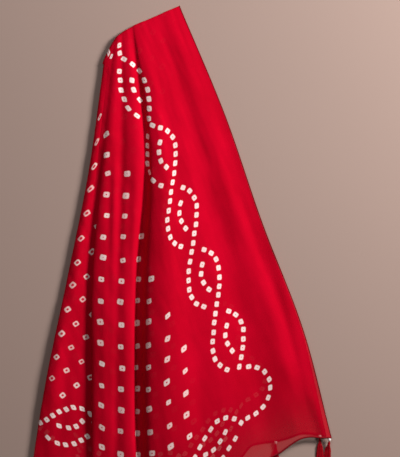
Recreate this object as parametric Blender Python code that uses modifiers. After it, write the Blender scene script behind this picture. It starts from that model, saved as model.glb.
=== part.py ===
"""A bandhani dupatta folded double over its shoulder line and laid on a flat surface, with beaded
tassels along both ends. Metres, +Z up. The origin is on the underside of the cloth. +Y points up the
cloth to the shoulder fold, and the front half lies on top of the back half."""

import math
import random

import bmesh
import bpy
import numpy as np
from mathutils import Matrix, Vector

MM = 0.001

# Cloth, in millimetres. A level is the height of the middle of the cloth above the surface.
CLOTH_THICKNESS = 1.5
FLOOR_LEVEL = CLOTH_THICKNESS / 2
BACK_WING_LEVEL = 3.5
BACK_FOLD_ANGLE = 75.0                # degrees round the back half's side fold, from point to point
BACK_FOLD_RUN = 3.0                   # the next point of the turned-under strip is this far in
SHOULDER_TURN_ROWS = 3
SHOULDER_TURN_REACH = 0.9             # how far the shoulder fold stands out, as a share of its height

# Rows of points down each half, as a share of the way from the shoulder fold to the hem.
FRONT_SHARES = (0.0, 0.06, 0.13, 0.21, 0.3, 0.4, 0.5, 0.6, 0.7, 0.8, 0.88, 0.95, 1.0)
BACK_SHARES = (0.0, 0.07, 0.2, 0.45, 0.72, 0.9, 1.0)
BACK_SPREAD_SHARE = 0.2               # by here the back half has opened out of its gathers

# Each row is a line that runs down the front half, from the inner selvage to the hidden selvage.
# across: how far right of the origin it is at the shoulder, chest, waist, hip and hem, in millimetres.
# level: how high it is there. steps: the number of points from this line to the next.
FRONT_LINES = (
    # name, across, level, steps
    ("inner selvage", (-42, 52, 130, 216, 275), (10, 10, 11, 12, 10), 2),
    ("edge trough", (-55, 29, 105, 187, 242), (10.5, 10, 10, 10.5, 10), 2),
    ("edge roll", (-67, 11, 84, 160, 210), (12, 14, 15, 18, 13), 3),
    ("chest flat", (-84, -15, 46, 105, 158), (11.5, 12, 12, 12.5, 10), 3),
    ("belly", (-99, -38, 6, 55, 99), (12.5, 17, 21, 22, 15), 3),
    ("lap", (-112, -59, -32, 0, 38), (13, 20, 28, 30, 14), 3),
    ("front crest", (-123, -76, -61, -48, -21), (14, 26, 38, 42, 19), 2),
    ("front brow", (-131, -88, -82, -78, -63), (14, 26, 39, 43, 20), 2),
    ("front side", (-137, -103, -110, -112, -103), (13.5, 21, 30, 33, 16), 2),
    ("valley right", (-141, -109, -120, -122, -113), (12.5, 11.5, 10.5, 10.3, 10), 2),
    ("valley left", (-144, -115, -131, -133, -127), (12.5, 11, 10, 10, 10), 2),
    ("ridge right", (-148, -120, -137, -139, -135), (13, 18, 24, 26, 15), 2),
    ("ridge crest", (-152, -131, -145, -147, -146), (14, 23.5, 29.5, 31.5, 18), 2),
    ("ridge left", (-158, -149, -162, -164, -164), (14, 22.5, 26.5, 28, 16.5), 2),
    ("groove", (-163, -165, -175, -177, -178), (13.5, 17.5, 21, 22.5, 13.5), 2),
    ("plateau right", (-167, -176, -188, -189, -190), (14, 20.5, 28, 30, 17), 2),
    ("plateau left", (-171, -187, -206, -208, -208), (14.4, 22.5, 25, 26.5, 17), 2),
    ("pleat brow", (-175, -197, -218, -220, -221), (14, 21, 22.5, 23.5, 18), 2),
    ("pleat edge", (-178, -203, -225, -226, -227), (13.5, 18, 19, 19.5, 16), 2),
    ("pleat under", (-180.5, -206, -218, -216, -220), (13, 16.2, 16.4, 16.4, 14.5), 2),
    ("tuck turn", (-183, -209, -208, -202, -211), (12.8, 14.8, 13.4, 13.2, 12.6), 3),
    ("tuck under", (-185.5, -212, -217, -214, -221), (12.5, 14, 10.4, 9.9, 10.3), 2),
    ("panel root", (-188, -215, -233, -231, -238), (12.2, 13.5, 10.4, 9.8, 10.2), 2),
    ("panel slope", (-191.5, -218.5, -246, -260, -265), (11.8, 14, 13, 12, 11), 2),
    ("panel crest", (-195.5, -223.5, -260, -291, -300), (11.3, 14, 16.5, 18, 13), 2),
    ("panel brow", (-199, -228.5, -269, -309, -332), (10.6, 12.5, 15, 16.5, 11.5), 2),
    ("outer fold", (-202, -233, -277, -323, -359), (8.8, 9.2, 10, 11, 8.4), 2),
    ("fold under", (-199, -229.5, -273, -318, -355), (6.9, 6.9, 6.9, 6.9, 6.6), 2),
    ("hidden wing", (-126, -150, -205, -275, -345), (6.4, 6.4, 6.4, 6.4, 6.4), 2),
    ("hidden selvage", (-52, -67, -137, -226, -332), (6.4, 6.4, 6.4, 6.4, 6.4), 0),
)

# The back half at the same five places: its inner selvage, its outer fold and the width turned under.
BACK_INNER = (-42, 50, 127, 212, 265)
BACK_OUTER = (-202, -228, -271, -316, -350)
BACK_WING_WIDTH = (150, 160, 134, 90, 20)

# The outlines of the ends: how far right, then how far up the cloth, in millimetres.
SHOULDER_LINE = ((-202, 343), (-186, 375), (-172, 396), (-151, 412), (-105, 434), (-42, 463))
FRONT_HEM = (
    (-361, -541), (-294, -560), (-231, -587), (-189, -608), (-147, -620), (-105, -620),
    (-63, -608), (0, -574), (84, -518), (137, -484), (168, -469), (189, -453), (210, -440),
    (231, -436), (252, -438), (275, -438),
)
BACK_HEM = (
    (-350, -512), (-260, -536), (-189, -572), (-105, -584), (-42, -560), (42, -520),
    (88, -480), (105, -458), (130, -449), (158, -446), (189, -438), (216, -429),
    (242, -431), (265, -436),
)

# Tassels, in millimetres. place: how far right of the origin each one hangs from its hem.
FRONT_TASSEL_PLACES = (271, 132, 14, -106, -228, -345)
BACK_TASSEL_PLACES = (252, 158, 66, -46, -160, -285)
BEAD_RADIUS = 3.5
SEAT_GAP = 0.3
BEAD_SIDES = 8
BEAD_RINGS = 6
BEAD_HANG = 1.0                       # how much lower than its hem a bead hangs
HEAD_LENGTH = 9.0
HEAD_WIDTH = 7.0
HEAD_DEPTH = 5.6
HEAD_DROP = 0.6                       # how high the head's end is, as a share of its crown
CROWN_SHARE = 0.65                    # how wide the crown is, as a share of the head's end
STRAND_COLUMNS = 5
STRAND_ROWS = 2
STRAND_GAP = 0.4
STRAND_BEND = 15.0                    # how far along a strand comes down to the surface
STRAND_LENGTH = 46.0
STRAND_UNEVEN = 2.0
SKIRT_WIDTH = 14.0
SKIRT_DEPTH = 4.2
TASSEL_SWING = 9.0                    # degrees, the most a tassel points away from straight down
TASSEL_SEED = 7

# Edges sharper than this many degrees stay sharp.
ROUND_ANGLE = 60.0
STRAND_ANGLE = 40.0

CLOTH_RED = (0.55, 0.004, 0.02)
TASSEL_RED = (0.42, 0.005, 0.016)
BEAD_WHITE = (0.86, 0.78, 0.72)


def hermite(start, end, leave, arrive, t):
    """A cubic from start to end that leaves and arrives at the given slopes."""
    return (
        start * (2 * t**3 - 3 * t**2 + 1)
        + leave * (t**3 - 2 * t**2 + t)
        + end * (3 * t**2 - 2 * t**3)
        + arrive * (t**3 - t**2)
    )


def eased(share):
    """A share from 0 to 1 that starts and ends gently."""
    return share * share * (3 - 2 * share)


def along(values, share):
    """A smooth curve through evenly spaced values, read at a share of its length."""
    place = share * (len(values) - 1)
    first = min(int(place), len(values) - 2)
    slopes = np.gradient(np.array(values, dtype=float))
    return hermite(values[first], values[first + 1], slopes[first], slopes[first + 1], place - first)


def outline_height(outline, across):
    """How far up the cloth an outline is at one distance across."""
    table = np.array(outline, dtype=float)
    slopes = np.gradient(table[:, 1], table[:, 0])
    first = int(np.clip(np.searchsorted(table[:, 0], across) - 1, 0, len(table) - 2))
    span = table[first + 1, 0] - table[first, 0]
    t = float(np.clip((across - table[first, 0]) / span, 0, 1))
    leave, arrive = slopes[first] * span, slopes[first + 1] * span
    return hermite(table[first, 1], table[first + 1, 1], leave, arrive, t)


def smooth_section(points, steps):
    """Points on a smooth curve through a section's own points, which may double back."""
    points = [Vector(point) for point in points]
    tangents = []
    for index, point in enumerate(points):
        before = points[max(index - 1, 0)]
        after = points[min(index + 1, len(points) - 1)]
        reach_in = math.sqrt((point - before).length) or 1.0
        reach_out = math.sqrt((after - point).length) or 1.0
        chord_in, chord_out = (point - before) / reach_in, (after - point) / reach_out
        blended = chord_in * reach_out + chord_out * reach_in
        tangents.append(blended / (reach_in + reach_out))
    section = []
    for index in range(len(points) - 1):
        start, end = points[index], points[index + 1]
        reach = math.sqrt((end - start).length)
        for step in range(steps[index]):
            t = step / steps[index]
            section.append(
                hermite(start, end, tangents[index] * reach, tangents[index + 1] * reach, t)
            )
    section.append(points[-1])
    return section


def front_section(share):
    """Across and level of each column of points at one share of the way down the front half."""
    points = [(along(across, share), along(level, share)) for _, across, level, _ in FRONT_LINES]
    return smooth_section(points, [steps for *_, steps in FRONT_LINES])


def columns_to(name):
    """The number of columns of points before a named line."""
    names = [line[0] for line in FRONT_LINES]
    return sum(line[3] for line in FRONT_LINES[:names.index(name)])


def column_shares(section, first, last):
    """How far along the cloth each column is between two columns, from 0 to 1."""
    lengths = [(section[index + 1] - section[index]).length for index in range(first, last)]
    reached = np.concatenate(([0.0], np.cumsum(lengths)))
    return reached / reached[-1]


def back_section(share):
    """Across and level of each column of points at one share of the way down the back half."""
    gathered, spread = front_section(0.0), front_section(0.5)
    fold, last = columns_to("outer fold"), len(gathered) - 1
    opened = eased(min(share / BACK_SPREAD_SHARE, 1.0))
    inner, outer = along(BACK_INNER, share), along(BACK_OUTER, share)
    wing_width = along(BACK_WING_WIDTH, share)
    panel = [(point.x - gathered[0].x) / (gathered[fold].x - gathered[0].x)
             for point in gathered[:fold + 1]]
    panel = np.array(panel) * (1 - opened) + column_shares(spread, 0, fold) * opened
    wing = [(point.x - gathered[fold].x) / (gathered[last].x - gathered[fold].x)
            for point in gathered[fold:]]
    wing = np.array(wing) * (1 - opened) + column_shares(spread, fold, last) * opened
    section = [Vector((inner + (outer - inner) * place, FLOOR_LEVEL)) for place in panel]
    for place in wing[1:]:
        section.append(Vector((outer + max(wing_width * place, BACK_FOLD_RUN), BACK_WING_LEVEL)))
    middle, radius = (BACK_WING_LEVEL + FLOOR_LEVEL) / 2, (BACK_WING_LEVEL - FLOOR_LEVEL) / 2
    for side in (-1, 0, 1):
        angle = math.radians(BACK_FOLD_ANGLE) * side
        section[fold + side] = Vector(
            (outer + radius * (1 - math.cos(angle)), middle + radius * math.sin(angle))
        )
    return section


def half_rows(section_at, hem, shares):
    """Rows of points, from the shoulder to the hem, of one half of the cloth."""
    shoulder = [outline_height(SHOULDER_LINE, point.x) for point in front_section(0.0)]
    ends = [outline_height(hem, point.x) for point in section_at(1.0)]
    rows = []
    for share in shares:
        row = []
        for point, high, low in zip(section_at(share), shoulder, ends):
            row.append(Vector((point.x, high + (low - high) * share, point.y)))
        rows.append(row)
    return rows


def shoulder_turn(front_row, back_row):
    """Rows of points round the shoulder fold, which stands out at right angles to its line."""
    rows = []
    for step in range(1, SHOULDER_TURN_ROWS + 1):
        angle = math.pi * step / (SHOULDER_TURN_ROWS + 1)
        row = []
        for front, back in zip(front_row, back_row):
            rise = (outline_height(SHOULDER_LINE, front.x + 1)
                    - outline_height(SHOULDER_LINE, front.x - 1)) / 2
            outward = Vector((-rise, 1, 0)).normalized()
            middle, half = (front.z + back.z) / 2, (front.z - back.z) / 2
            point = front.lerp(back, (1 - math.cos(angle)) / 2)
            point += outward * half * SHOULDER_TURN_REACH * math.sin(angle)
            point.z = middle + half * math.cos(angle)
            row.append(point)
        rows.append(row)
    return rows


def cloth_rows():
    """Every row of points of the cloth, from the front hem over the shoulder to the back hem."""
    front = half_rows(front_section, FRONT_HEM, FRONT_SHARES)
    back = half_rows(back_section, BACK_HEM, BACK_SHARES)
    return front[::-1] + shoulder_turn(front[0], back[0]) + back


def plain_material(name, colour, roughness):
    """A material of one colour that isn't metal."""
    material = bpy.data.materials.new(name)
    material.use_nodes = True
    shader = material.node_tree.nodes["Principled BSDF"]
    shader.inputs["Base Color"].default_value = (*colour, 1)
    shader.inputs["Roughness"].default_value = roughness
    shader.inputs["Metallic"].default_value = 0
    return material


def add_object(name, mesh, material, collection, smooth_angle=ROUND_ANGLE):
    """An object of one mesh and material, shaded smooth but for its sharp edges."""
    mesh.materials.append(material)
    mesh.shade_smooth()
    mesh.set_sharp_from_angle(angle=math.radians(smooth_angle))
    piece = bpy.data.objects.new(name, mesh)
    collection.objects.link(piece)
    return piece


def make_cloth(rows, material, collection):
    """The cloth: one sheet on a grid of points, thickened to both sides."""
    bm = bmesh.new()
    columns = len(rows[0])
    bmesh.ops.create_grid(bm, x_segments=columns - 1, y_segments=len(rows) - 1, size=1)
    bm.verts.ensure_lookup_table()
    for index, vertex in enumerate(bm.verts):
        row, column = divmod(index, columns)
        vertex.co = rows[row][column] * MM
    bmesh.ops.recalc_face_normals(bm, faces=bm.faces)
    mesh = bpy.data.meshes.new("cloth")
    bm.to_mesh(mesh)
    bm.free()
    cloth = add_object("cloth", mesh, material, collection)
    shell = cloth.modifiers.new("Thickness", "SOLIDIFY")
    shell.thickness = CLOTH_THICKNESS * MM
    shell.offset = 0
    return cloth


def tassel_levels(head_level):
    """How high the middle of a tassel is at its crown and at its head's end."""
    return head_level, max(HEAD_DEPTH / 2, head_level * HEAD_DROP)


def strand_target(column, row, distance):
    """Across, level, width and depth of one strand where it lies on the surface."""
    skirt = HEAD_WIDTH + (SKIRT_WIDTH - HEAD_WIDTH) * distance / STRAND_LENGTH
    slot = skirt / STRAND_COLUMNS
    across = (column - (STRAND_COLUMNS - 1) / 2) * slot
    layer = SKIRT_DEPTH / STRAND_ROWS
    return across, (row + 0.5) * layer, slot - STRAND_GAP, layer - STRAND_GAP


def tassel_mesh(name, head_level, lengths):
    """A tassel that points along -Y from the middle of its crown, which is above the origin."""
    bm = bmesh.new()
    strand = bm.faces.layers.int.new("strand")
    bmesh.ops.create_grid(bm, x_segments=STRAND_COLUMNS, y_segments=STRAND_ROWS, size=0.5)
    roots = bm.faces[:]
    grown = bmesh.ops.extrude_face_region(bm, geom=roots)
    crown = {item for item in grown["geom"] if isinstance(item, bmesh.types.BMVert)}
    crown_level, end_level = tassel_levels(head_level)
    for vertex in bm.verts:
        across, up = vertex.co.x * HEAD_WIDTH, vertex.co.y * HEAD_DEPTH
        if vertex in crown:
            vertex.co = (across * CROWN_SHARE, 0, crown_level + up * CROWN_SHARE)
        else:
            vertex.co = (across, -HEAD_LENGTH, end_level + up)
    bm.normal_update()
    bmesh.ops.inset_individual(bm, faces=roots, thickness=STRAND_GAP / 2)
    for face in roots:
        middle = face.calc_center_median()
        column = round(middle.x / HEAD_WIDTH * STRAND_COLUMNS + (STRAND_COLUMNS - 1) / 2)
        row = 0 if middle.z < end_level else 1
        face[strand] = row * STRAND_COLUMNS + column
    for reach in (STRAND_BEND, STRAND_LENGTH):
        roots = bmesh.ops.extrude_discrete_faces(bm, faces=roots)["faces"]
        for face in roots:
            row, column = divmod(face[strand], STRAND_COLUMNS)
            length = lengths[face[strand]]
            across, level, width, depth = strand_target(column, row, reach)
            middle = face.calc_center_median()
            for vertex in face.verts:
                vertex.co = (
                    across + math.copysign(width / 2, vertex.co.x - middle.x),
                    -HEAD_LENGTH - (reach if reach == STRAND_BEND else length),
                    level + math.copysign(depth / 2, vertex.co.z - middle.z),
                )
    bmesh.ops.recalc_face_normals(bm, faces=bm.faces)
    bmesh.ops.scale(bm, vec=(MM, MM, MM), verts=bm.verts)
    mesh = bpy.data.meshes.new(name)
    bm.to_mesh(mesh)
    bm.free()
    return mesh


def bead_mesh(name):
    """A round bead."""
    bm = bmesh.new()
    bmesh.ops.create_uvsphere(bm, u_segments=BEAD_SIDES, v_segments=BEAD_RINGS, radius=BEAD_RADIUS * MM)
    mesh = bpy.data.meshes.new(name)
    bm.to_mesh(mesh)
    bm.free()
    return mesh


def hem_point(row, across):
    """The point of a hem at one distance across, and the direction square to the hem, outwards."""
    for start, end in zip(row, row[1:]):
        if (start.x - across) * (end.x - across) <= 0 and start.x != end.x:
            point = start.lerp(end, (across - start.x) / (end.x - start.x))
            run = end - start
            outward = Vector((run.y, -run.x, 0)).normalized()
            return point, outward if outward.y < 0 else -outward
    raise ValueError(f"no hem at {across}")


def make_tassels(side, row, places, materials, collection):
    """A bead and a tassel at each place along one hem."""
    chance = random.Random(f"{side} {TASSEL_SEED}")
    for number, across in enumerate(places, 1):
        point, outward = hem_point(row, across)
        level = max(BEAD_RADIUS, point.z - BEAD_HANG)
        rise = max(0.0, level - point.z - CLOTH_THICKNESS / 2)
        seat = math.sqrt((BEAD_RADIUS + SEAT_GAP) ** 2 - rise**2)
        middle = point + outward * seat
        swing = math.radians(chance.uniform(-TASSEL_SWING, TASSEL_SWING))
        lengths = [STRAND_LENGTH + chance.uniform(-STRAND_UNEVEN, STRAND_UNEVEN)
                   for _ in range(STRAND_COLUMNS * STRAND_ROWS)]
        bead_name = f"{side}_bead_{number}"
        bead = add_object(bead_name, bead_mesh(bead_name), materials["bead"], collection)
        bead.location = Vector((middle.x, middle.y, level)) * MM
        name = f"{side}_tassel_{number}"
        mesh = tassel_mesh(name, level, lengths)
        tassel = add_object(name, mesh, materials["tassel"], collection, STRAND_ANGLE)
        down = Matrix.Rotation(swing, 3, "Z") @ Vector((0, -1, 0))
        start = Vector((middle.x, middle.y, 0)) + down * (BEAD_RADIUS + SEAT_GAP)
        tassel.location = start * MM
        tassel.rotation_euler.z = swing


def main():
    for old in list(bpy.data.objects):
        bpy.data.objects.remove(old, do_unlink=True)
    collection = bpy.data.collections.new("bandhani_dupatta")
    bpy.context.scene.collection.children.link(collection)
    materials = {
        "cloth": plain_material("dyed cotton silk", CLOTH_RED, 0.7),
        "tassel": plain_material("tassel thread", TASSEL_RED, 0.75),
        "bead": plain_material("bead", BEAD_WHITE, 0.25),
    }
    rows = cloth_rows()
    make_cloth(rows, materials["cloth"], collection)
    make_tassels("front", rows[0], FRONT_TASSEL_PLACES, materials, collection)
    make_tassels("back", rows[-1], BACK_TASSEL_PLACES, materials, collection)


main()
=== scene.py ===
"""A red bandhani dupatta, folded double at its shoulder line and laid out flat, with its hanging folds,
its tied dots and its beaded tassels. Metres, +Z up. The tables below are in millimetres."""

import functools
import math
import random

import bmesh
import bpy
import numpy as np
from bpy.props import FloatProperty, FloatVectorProperty, IntProperty, PointerProperty
from mathutils import Matrix, Vector, noise
from mathutils.kdtree import KDTree


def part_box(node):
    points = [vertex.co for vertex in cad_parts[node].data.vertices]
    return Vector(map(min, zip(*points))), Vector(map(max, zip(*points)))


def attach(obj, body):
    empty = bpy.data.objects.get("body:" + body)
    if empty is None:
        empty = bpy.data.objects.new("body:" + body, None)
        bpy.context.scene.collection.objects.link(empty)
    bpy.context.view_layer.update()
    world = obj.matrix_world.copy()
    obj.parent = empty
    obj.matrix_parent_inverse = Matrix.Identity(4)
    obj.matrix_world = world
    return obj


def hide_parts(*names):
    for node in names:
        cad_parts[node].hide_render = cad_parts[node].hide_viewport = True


bl_info = {
    "name": "Bandhani dupatta",
    "version": (1, 0, 0),
    "blender": (4, 5, 0),
    "location": "3D View > Sidebar > Dupatta",
    "description": "Makes the cloth, tied dots, hems and tassels of a bandhani dupatta",
    "category": "Mesh",
}

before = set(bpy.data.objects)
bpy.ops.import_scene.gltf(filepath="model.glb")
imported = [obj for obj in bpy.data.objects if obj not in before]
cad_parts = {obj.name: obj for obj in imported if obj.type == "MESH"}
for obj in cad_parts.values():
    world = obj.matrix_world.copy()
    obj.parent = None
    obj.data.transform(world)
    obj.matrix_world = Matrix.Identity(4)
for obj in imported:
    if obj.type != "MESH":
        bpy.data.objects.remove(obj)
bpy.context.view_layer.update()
MM = 0.001

# Where the cloth's two halves lie. A level is a height above the surface.
FLOOR_LEVEL = 0.75
BACK_WING_LEVEL = 3.5
BACK_SPREAD_SHARE = 0.2       # by here, of its length, the back half has opened out of its gathers
BACK_FOLD_CLEAR = 1.3         # its flat cells keep this many fold radii from the fold's middle
SHOULDER_TURN_REACH = 0.9     # how far the shoulder fold stands out, as a share of its height
HALF_LENGTH = 980.0
FRONT_ROWS = 196
BACK_ROWS = 90
TURN_ROWS = 9
BACK_FOLD_STEPS = 3
FEWEST_STEPS = 2              # columns of points from one line of the table to the next
MEASURED_SHARES = (0.25, 0.5, 0.75, 1)

# Each row is a line that runs down the front half, from the inner selvage to the hidden selvage.
# across: how far right of the origin it is at the shoulder, chest, waist, hip and hem.
# level: how high it is there.
FRONT_LINES = (
    # name, across, level
    ("inner selvage", (-42, 52, 130, 216, 275), (10, 10, 11, 12, 10)),
    ("edge trough", (-55, 29, 105, 187, 242), (10.5, 10, 10, 10.5, 10)),
    ("edge roll", (-67, 11, 84, 160, 210), (12, 14, 15, 18, 13)),
    ("chest flat", (-84, -15, 46, 105, 158), (11.5, 12, 12, 12.5, 10)),
    ("belly", (-99, -38, 6, 55, 99), (12.5, 17, 21, 22, 15)),
    ("lap", (-112, -59, -32, 0, 38), (13, 20, 28, 30, 14)),
    ("front crest", (-123, -76, -61, -48, -21), (14, 26, 38, 42, 19)),
    ("front brow", (-131, -88, -82, -78, -63), (14, 26, 39, 43, 20)),
    ("front side", (-137, -103, -110, -112, -103), (13.5, 21, 30, 33, 16)),
    ("valley right", (-141, -109, -120, -122, -113), (12.5, 11.5, 10.5, 10.3, 10)),
    ("valley left", (-144, -115, -131, -133, -127), (12.5, 11, 10, 10, 10)),
    ("ridge right", (-148, -120, -137, -139, -135), (13, 18, 24, 26, 15)),
    ("ridge crest", (-152, -131, -145, -147, -146), (14, 23.5, 29.5, 31.5, 18)),
    ("ridge left", (-158, -149, -162, -164, -164), (14, 22.5, 26.5, 28, 16.5)),
    ("groove", (-163, -165, -175, -177, -178), (13.5, 17.5, 21, 22.5, 13.5)),
    ("plateau right", (-167, -176, -188, -189, -190), (14, 20.5, 28, 30, 17)),
    ("plateau left", (-171, -187, -206, -208, -208), (14.4, 22.5, 25, 26.5, 17)),
    ("pleat brow", (-175, -197, -218, -220, -221), (14, 21, 22.5, 23.5, 18)),
    ("pleat edge", (-178, -203, -225, -226, -227), (13.5, 18, 19, 19.5, 16)),
    ("pleat under", (-180.5, -206, -218, -216, -220), (13, 16.2, 16.4, 16.4, 14.5)),
    ("tuck turn", (-183, -209, -208, -202, -211), (12.8, 14.8, 13.4, 13.2, 12.6)),
    ("tuck under", (-185.5, -212, -217, -214, -221), (12.5, 14, 10.4, 9.9, 10.3)),
    ("panel root", (-188, -215, -233, -231, -238), (12.2, 13.5, 10.4, 9.8, 10.2)),
    ("panel slope", (-191.5, -218.5, -246, -260, -265), (11.8, 14, 13, 12, 11)),
    ("panel crest", (-195.5, -223.5, -260, -291, -300), (11.3, 14, 16.5, 18, 13)),
    ("panel brow", (-199, -228.5, -269, -309, -332), (10.6, 12.5, 15, 16.5, 11.5)),
    ("outer fold", (-202, -233, -277, -323, -359), (8.8, 9.2, 10, 11, 8.4)),
    ("fold under", (-199, -229.5, -273, -318, -355), (6.9, 6.9, 6.9, 6.9, 6.6)),
    ("hidden wing", (-126, -150, -205, -275, -345), (6.4, 6.4, 6.4, 6.4, 6.4)),
    ("hidden selvage", (-52, -67, -137, -226, -332), (6.4, 6.4, 6.4, 6.4, 6.4)),
)
LINE_NAMES, LINE_ACROSS, LINE_LEVEL = zip(*FRONT_LINES)

# The back half at the same five places: its inner selvage, its outer fold and the width turned under.
BACK_INNER = (-42, 50, 127, 212, 265)
BACK_OUTER = (-202, -228, -271, -316, -350)
BACK_WING_WIDTH = (150, 160, 134, 90, 20)

# The outlines of the ends: how far right, then how far up the cloth.
SHOULDER_LINE = ((-202, 343), (-186, 375), (-172, 396), (-151, 412), (-105, 434), (-42, 463))
FRONT_HEM = (
    (-361, -541), (-294, -560), (-231, -587), (-189, -608), (-147, -620), (-105, -620),
    (-63, -608), (0, -574), (84, -518), (137, -484), (168, -469), (189, -453), (210, -440),
    (231, -436), (252, -438), (275, -438),
)
BACK_HEM = (
    (-350, -512), (-260, -536), (-189, -572), (-105, -584), (-42, -560), (42, -520),
    (88, -480), (105, -458), (130, -449), (158, -446), (189, -438), (216, -429),
    (242, -431), (265, -436),
)

# Soft creases on top of the folds: from, to, half-width and height, which is negative in a trough.
CREASES = (
    # name, start, end, width, height
    ("shoulder drag", (-60, 440), (20, 250), 14, 0.54),
    ("shoulder hollow", (-85, 425), (-30, 270), 12, -0.54),
    ("selvage roll", (-48, 448), (95, 40), 8, 1.2),
    ("chest pull", (-120, 330), (30, 150), 18, 0.54),
    ("chest dip", (-105, 270), (60, 110), 20, -0.48),
    ("waist pull", (-60, 190), (120, -20), 22, 0.6),
    ("waist dip", (-60, 100), (135, -90), 24, -0.6),
    ("hip pull", (-50, 20), (150, -200), 24, 0.66),
    ("hip dip", (-40, -80), (175, -260), 22, -0.6),
    ("roll rest", (95, 10), (172, -340), 24, -2.4),
    ("edge ease", (150, -20), (228, -345), 12, 2.2),
    ("corner fold", (200, -290), (262, -430), 10, 1.2),
    ("corner dip", (175, -310), (225, -430), 12, -0.9),
    ("lap fold", (20, -180), (60, -500), 22, 1.2),
    ("lap dip", (-10, -200), (5, -520), 16, -1.2),
    ("low fold", (100, -330), (120, -480), 16, 1.2),
    ("groove fill", (-176, 190), (-179, -560), 9, 5.0),
    ("ridge ease", (-146, 150), (-147, -560), 7, -2.2),
    ("plateau ease", (-187, 150), (-190, -560), 8, -3.0),
    ("panel ease", (-264, -60), (-302, -520), 12, -2.8),
    ("left pull", (-250, -60), (-330, -420), 14, 1.6),
    ("left dip", (-262, -150), (-290, -480), 12, -1.5),
)
CREASE_END = 0.02             # a crease fades no more over this share of its length, at each end
CREASE_TAPER = 0.6            # how late it fades towards its ends
CREASE_START = 0.06           # creases reach their height this share of the way down


def hermite(start, end, leave, arrive, t):
    """A cubic from start to end that leaves and arrives at the given slopes."""
    return (
        start * (2 * t**3 - 3 * t**2 + 1)
        + leave * (t**3 - 2 * t**2 + t)
        + end * (3 * t**2 - 2 * t**3)
        + arrive * (t**3 - t**2)
    )


def along(values, share):
    """Smooth curves through evenly spaced values, the last axis, read at a share of their length."""
    values = np.array(values, dtype=float)
    place = share * (values.shape[-1] - 1)
    first = min(int(place), values.shape[-1] - 2)
    slopes = np.gradient(values, axis=-1)
    return hermite(values[..., first], values[..., first + 1],
                   slopes[..., first], slopes[..., first + 1], place - first)


def outline_height(outline, across):
    """How far up the cloth an outline is at some distances across."""
    table = np.array(outline, dtype=float)
    across = np.clip(np.asarray(across, dtype=float), table[0, 0], table[-1, 0])
    slopes = np.gradient(table[:, 1], table[:, 0])
    first = np.clip(np.searchsorted(table[:, 0], across) - 1, 0, len(table) - 2)
    span = table[first + 1, 0] - table[first, 0]
    t = (across - table[first, 0]) / span
    return hermite(table[first, 1], table[first + 1, 1], slopes[first] * span, slopes[first + 1] * span, t)


def line_points(share):
    """Across and level of every line at one share of the way down the front half."""
    return np.stack((along(LINE_ACROSS, share), along(LINE_LEVEL, share)), axis=1)


def line_steps(cell):
    """How many columns of points each line takes, so that no cell is much wider than asked."""
    spans = [np.linalg.norm(np.diff(line_points(share), axis=0), axis=1) for share in MEASURED_SHARES]
    return np.maximum(FEWEST_STEPS, np.ceil(np.max(spans, axis=0) / cell)).astype(int)


def smooth_section(points, steps):
    """Points on a smooth curve through a section's own points, which may double back."""
    before = np.vstack((points[:1], points[:-1]))
    after = np.vstack((points[1:], points[-1:]))
    reach_in = np.sqrt(np.linalg.norm(points - before, axis=1))[:, None]
    reach_out = np.sqrt(np.linalg.norm(after - points, axis=1))[:, None]
    reach_in[0] = reach_out[-1] = 1.0
    tangents = (points - before) / reach_in * reach_out + (after - points) / reach_out * reach_in
    tangents /= reach_in + reach_out
    section = []
    for index, count in enumerate(steps):
        t = np.arange(count)[:, None] / count
        reach = reach_out[index]
        section.append(hermite(points[index], points[index + 1],
                               tangents[index] * reach, tangents[index + 1] * reach, t))
    section.append(points[-1:])
    return np.vstack(section)


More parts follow.
